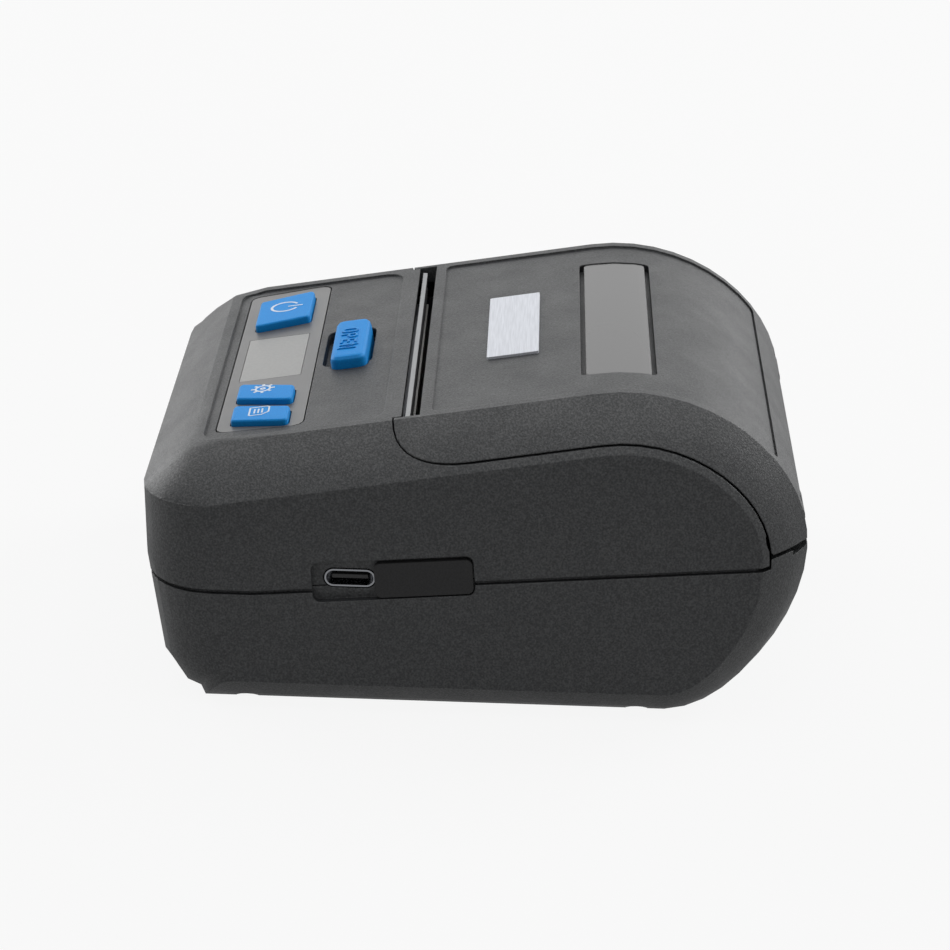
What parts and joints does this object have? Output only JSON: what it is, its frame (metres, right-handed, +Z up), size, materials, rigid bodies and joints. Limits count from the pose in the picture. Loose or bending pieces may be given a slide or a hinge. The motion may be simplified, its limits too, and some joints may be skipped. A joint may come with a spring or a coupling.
{
  "type": "portable receipt printer",
  "caption": "Pocket-size thermal receipt printer with a hinged paper cover over a drop-in roll bucket, a sloping control panel with pressable keys and a side charging socket.",
  "frame": {"origin": "middle of the footprint, on the table the printer stands on", "axes": "-Y is the end with the keys, +Y is the rounded end with the paper roll, +X is the side with the charging socket, +Z is up"},
  "size_m": [0.102, 0.118, 0.0592],
  "materials": {
    "case_plastic": "spark-textured black moulding",
    "window_plastic": "glossy grey smoked insert",
    "label_metal": "satin plate",
    "bucket_plastic": "fine texture",
    "battery_wrap": "shrink wrap",
    "overlay_film": "glossy film",
    "display_face": "glossy",
    "display_body": "moulded",
    "board_laminate": "solder mask",
    "button_plastic": "satin blue moulding",
    "switch_body": "moulded",
    "spring_steel": "drawn wire",
    "frame_plastic": "glass-filled moulding",
    "motor_can": "zinc plated can",
    "pinion_brass": "cut brass",
    "gear_plastic": "natural acetal",
    "turned_steel": "ground",
    "roller_rubber": "ground rubber",
    "bush_plastic": "natural acetal",
    "head_ceramic": "glazed",
    "sink_aluminium": "extruded",
    "tear_steel": "stamped",
    "socket_steel": "nickel plated shell",
    "tongue_plastic": "moulded",
    "shutter_rubber": "finely textured",
    "screw_steel": "zinc plated"
  },
  "bodies": {
    "case": {"upper_case": "case_plastic", "lower_case": "case_plastic", "paper_bucket": "bucket_plastic", "battery_pack": "battery_wrap", "hinge_shaft": "turned_steel", "panel_overlay": "overlay_film", "display_lens": "display_face", "display_module": "display_body", "control_board": "board_laminate", "control_board_screw_1": "screw_steel", "control_board_screw_2": "screw_steel", "control_board_screw_3": "screw_steel", "control_board_screw_4": "screw_steel", "power_switch": "switch_body", "settings_switch": "switch_body", "feed_switch": "switch_body", "release_spring": "spring_steel", "mechanism_frame": "frame_plastic", "frame_screw_1": "screw_steel", "frame_screw_2": "screw_steel", "frame_screw_3": "screw_steel", "frame_screw_4": "screw_steel", "stepper_motor": "motor_can", "first_idler_axle": "turned_steel", "second_idler_axle": "turned_steel", "head_spring_far": "spring_steel", "head_spring_near": "spring_steel", "tear_bar": "tear_steel", "main_board": "board_laminate", "board_screw_far": "screw_steel", "board_screw_near": "screw_steel", "socket_shell": "socket_steel", "socket_tongue": "tongue_plastic", "case_screw_1": "screw_steel", "case_screw_2": "screw_steel", "case_screw_3": "screw_steel", "case_screw_4": "screw_steel"},
    "cover": {"paper_cover": "case_plastic", "window_insert": "window_plastic", "label_plate": "label_metal", "roller_bracket": "frame_plastic", "platen_bush_far": "bush_plastic", "platen_bush_near": "bush_plastic"},
    "platen": {"platen_rubber": "roller_rubber", "platen_shaft": "turned_steel", "platen_gear": "gear_plastic"},
    "first_idler": {"first_idler_gear": "gear_plastic"},
    "second_idler": {"second_idler_gear": "gear_plastic"},
    "pinion": {"motor_pinion": "pinion_brass"},
    "release": {"release_button": "button_plastic"},
    "lever": {"release_lever": "frame_plastic"},
    "power": {"power_button": "button_plastic"},
    "settings": {"settings_button": "button_plastic"},
    "feed": {"feed_button": "button_plastic"},
    "shutter": {"socket_shutter": "shutter_rubber"},
    "battery_door": {"battery_door": "case_plastic"},
    "print_head": {"thermal_strip": "head_ceramic", "heat_sink": "sink_aluminium"}
  },
  "joints": [
    {"name": "cover_hinge", "type": "hinge", "parent": "case", "child": "cover", "pos_m": [0, 0.056, 0.03583], "axis": [-1, 0, 0], "range_deg": [0, 95]},
    {"name": "platen_turn", "type": "hinge", "parent": "cover", "child": "platen", "pos_m": [0, -0.0063, 0.0435], "axis": [1, 0, 0], "continuous": true},
    {"name": "first_idler_turn", "type": "hinge", "parent": "case", "child": "first_idler", "pos_m": [0, -0.00851, 0.03395], "axis": [1, 0, 0], "continuous": true},
    {"name": "second_idler_turn", "type": "hinge", "parent": "case", "child": "second_idler", "pos_m": [0, -0.02146, 0.03554], "axis": [1, 0, 0], "continuous": true},
    {"name": "pinion_turn", "type": "hinge", "parent": "case", "child": "pinion", "pos_m": [0, -0.03132, 0.03362], "axis": [1, 0, 0], "continuous": true},
    {"name": "release_press", "type": "slide", "parent": "case", "child": "release", "axis": [0, 0.1702, -0.9854], "range_m": [0, 0.002], "stiffness_N_per_m": 600, "springref_m": -0.0005, "deforming": ["release_spring"]},
    {"name": "lever_turn", "type": "hinge", "parent": "case", "child": "lever", "pos_m": [0, -0.0156, 0.0326], "axis": [1, 0, 0], "range_deg": [0, 16.2]},
    {"name": "power_press", "type": "slide", "parent": "case", "child": "power", "axis": [0, 0.1702, -0.9854], "range_m": [0, 0.0008], "stiffness_N_per_m": 500, "springref_m": -0.0002},
    {"name": "settings_press", "type": "slide", "parent": "case", "child": "settings", "axis": [0, 0.1702, -0.9854], "range_m": [0, 0.0008], "stiffness_N_per_m": 500, "springref_m": -0.0002},
    {"name": "feed_press", "type": "slide", "parent": "case", "child": "feed", "axis": [0, 0.1702, -0.9854], "range_m": [0, 0.0008], "stiffness_N_per_m": 500, "springref_m": -0.0002},
    {"name": "shutter_slide", "type": "slide", "parent": "case", "child": "shutter", "axis": [0, -0.9964, -0.0842], "range_m": [0, 0.0099]},
    {"name": "battery_door_slide", "type": "slide", "parent": "case", "child": "battery_door", "axis": [0, -1, 0], "range_m": [0, 0.06]},
    {"name": "head_rock", "type": "hinge", "parent": "case", "child": "print_head", "pos_m": [0, -0.014, 0.0384], "axis": [1, 0, 0], "range_deg": [0, 2], "stiffness_Nm_per_rad": 0.5, "springref_deg": -57.3}
  ],
  "couplings": [
    {"joint": "first_idler_turn", "follows": "platen_turn", "ratio": -0.625},
    {"joint": "second_idler_turn", "follows": "platen_turn", "ratio": 0.53571},
    {"joint": "pinion_turn", "follows": "platen_turn", "ratio": -1.25},
    {"joint": "lever_turn", "follows": "release_press", "rad_per_m": 140.8}
  ]
}
